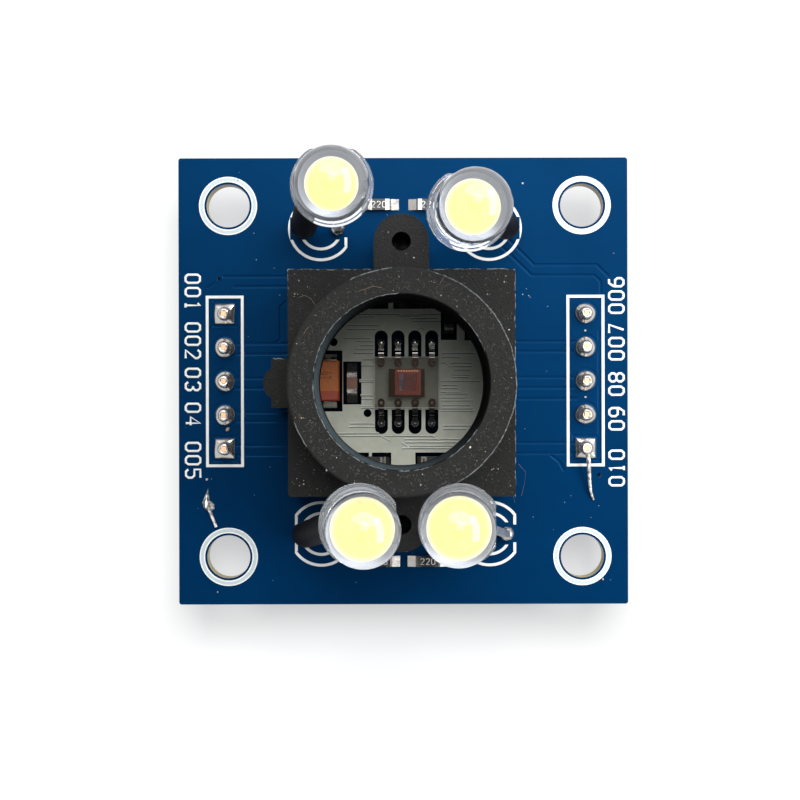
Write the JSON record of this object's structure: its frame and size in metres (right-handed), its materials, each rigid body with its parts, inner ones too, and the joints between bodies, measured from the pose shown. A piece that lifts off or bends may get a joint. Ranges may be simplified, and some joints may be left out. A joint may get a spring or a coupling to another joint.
{
  "type": "color sensor module",
  "caption": "Square blue circuit board with a clear light sensor inside a black lens tube, LEDs on tall sleeved legs around it and pin headers below its side edges.",
  "frame": {"origin": "centre of the four mounting holes, on the board's underside", "axes": "+X to the right and +Y up across the board as the parts are read, +Z out of the side with the sensor"},
  "size_m": [0.0339, 0.0338, 0.0321],
  "materials": {
    "solder_mask_blue": "blue solder mask over glass-epoxy laminate, semi-gloss",
    "print_white": "white printed ink",
    "holder_black": "moulded black plastic, fine matte grain",
    "screw_steel": "zinc-plated steel",
    "header_black": "moulded black plastic",
    "pin_tinned_brass": "tinned brass, copper tone where cut",
    "solder": "bright solder",
    "led_epoxy": "water-clear epoxy",
    "led_phosphor": "yellow phosphor in silicone",
    "led_lead_frame": "silver-plated stamped steel",
    "sleeve_black": "black flexible tubing",
    "sensor_epoxy": "clear moulding compound",
    "sensor_lead_frame": "plated copper alloy",
    "sensor_silicon": "silicon with colour filters",
    "tantalum_orange": "orange moulded case with a darker band",
    "terminal_tin": "tinned ends and solder",
    "ceramic_tan": "brown ceramic",
    "resistor_glaze": "black glaze over ceramic"
  },
  "bodies": {
    "root": {"board": "solder_mask_blue", "ceramic_capacitor_body": "ceramic_tan", "ceramic_capacitor_terminals": "terminal_tin", "header_left_housing": "header_black", "header_left_pin_1": "pin_tinned_brass", "header_left_pin_2": "pin_tinned_brass", "header_left_pin_3": "pin_tinned_brass", "header_left_pin_4": "pin_tinned_brass", "header_left_pin_5": "pin_tinned_brass", "header_left_solder": "solder", "header_right_housing": "header_black", "header_right_pin_1": "pin_tinned_brass", "header_right_pin_2": "pin_tinned_brass", "header_right_pin_3": "pin_tinned_brass", "header_right_pin_4": "pin_tinned_brass", "header_right_pin_5": "pin_tinned_brass", "header_right_solder": "solder", "holder_screws": "screw_steel", "inner_chip_bottom_left": "resistor_glaze", "inner_chip_bottom_right": "resistor_glaze", "inner_chip_right": "resistor_glaze", "inner_chip_terminals": "terminal_tin", "inner_chip_top": "resistor_glaze", "led_bottom_left_anode": "led_lead_frame", "led_bottom_left_cathode": "led_lead_frame", "led_bottom_left_lens": "led_epoxy", "led_bottom_left_phosphor": "led_phosphor", "led_bottom_left_sleeve": "sleeve_black", "led_bottom_right_anode": "led_lead_frame", "led_bottom_right_cathode": "led_lead_frame", "led_bottom_right_lens": "led_epoxy", "led_bottom_right_phosphor": "led_phosphor", "led_bottom_right_sleeve": "sleeve_black", "led_solder": "solder", "led_top_left_anode": "led_lead_frame", "led_top_left_cathode": "led_lead_frame", "led_top_left_lens": "led_epoxy", "led_top_left_phosphor": "led_phosphor", "led_top_left_sleeve": "sleeve_black", "led_top_right_anode": "led_lead_frame", "led_top_right_cathode": "led_lead_frame", "led_top_right_lens": "led_epoxy", "led_top_right_phosphor": "led_phosphor", "led_top_right_sleeve": "sleeve_black", "lens_holder": "holder_black", "pin_tail": "solder", "resistor_bottom_left": "resistor_glaze", "resistor_bottom_right": "resistor_glaze", "resistor_terminals": "terminal_tin", "resistor_top_left": "resistor_glaze", "resistor_top_right": "resistor_glaze", "sensor_die": "sensor_silicon", "sensor_lead_frame": "sensor_lead_frame", "sensor_package": "sensor_epoxy", "silkscreen": "print_white", "solder_clipping": "solder", "tantalum_body": "tantalum_orange", "tantalum_terminals": "terminal_tin"}
  },
  "joints": []
}
